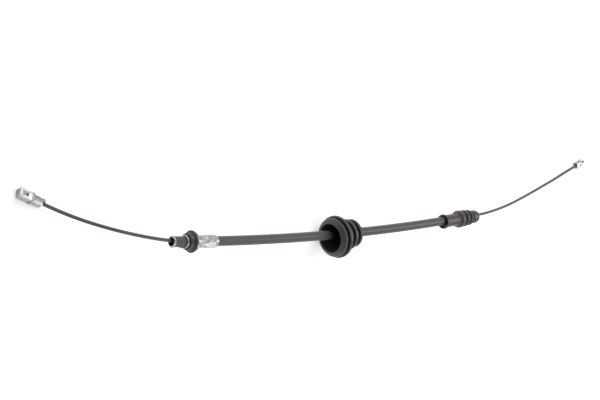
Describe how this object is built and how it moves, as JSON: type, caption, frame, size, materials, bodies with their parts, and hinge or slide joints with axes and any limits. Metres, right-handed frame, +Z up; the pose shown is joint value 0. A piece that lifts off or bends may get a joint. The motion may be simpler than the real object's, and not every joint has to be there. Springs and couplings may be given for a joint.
{
  "type": "parking brake cable",
  "caption": "Parking brake cable: plastic-coated steel inner cable sliding in a sheathed casing with a sealed ferrule, rubber boot, clip-in sleeve and steel end pieces.",
  "frame": {"origin": "on the floor, below the middle of the part's box", "axes": "+X along the cable from the wheel end to the lever end, +Y to the side that both ends bend to, +Z up from the floor that it lies on"},
  "size_m": [0.7932, 0.0872, 0.041],
  "materials": {
    "jacket": "black plastic sheath, slightly ribbed, satin",
    "coat": "smooth black plastic coat over steel strand",
    "rubber": "moulded black rubber, matt with soft highlights",
    "plastic": "moulded black plastic, satin",
    "liner": "white low-friction plastic",
    "zinc": "bright zinc plated steel",
    "steel": "bare steel wire"
  },
  "bodies": {
    "casing": {"jacket": "jacket", "armour_coil": "steel", "liner": "liner", "spigot_tube": "zinc", "spigot_band": "plastic", "snap_ring": "zinc", "seal_ring": "rubber", "ferrule": "zinc", "boot": "rubber", "end_sleeve": "plastic"},
    "inner_cable": {"cable_coat": "coat", "cable_strand": "steel", "end_block": "zinc", "end_fitting": "zinc"}
  },
  "joints": [
    {"name": "inner_cable_slide", "type": "slide", "parent": "casing", "child": "inner_cable", "axis": [1, 0, 0], "range_m": [-0.008, 0.006]}
  ]
}
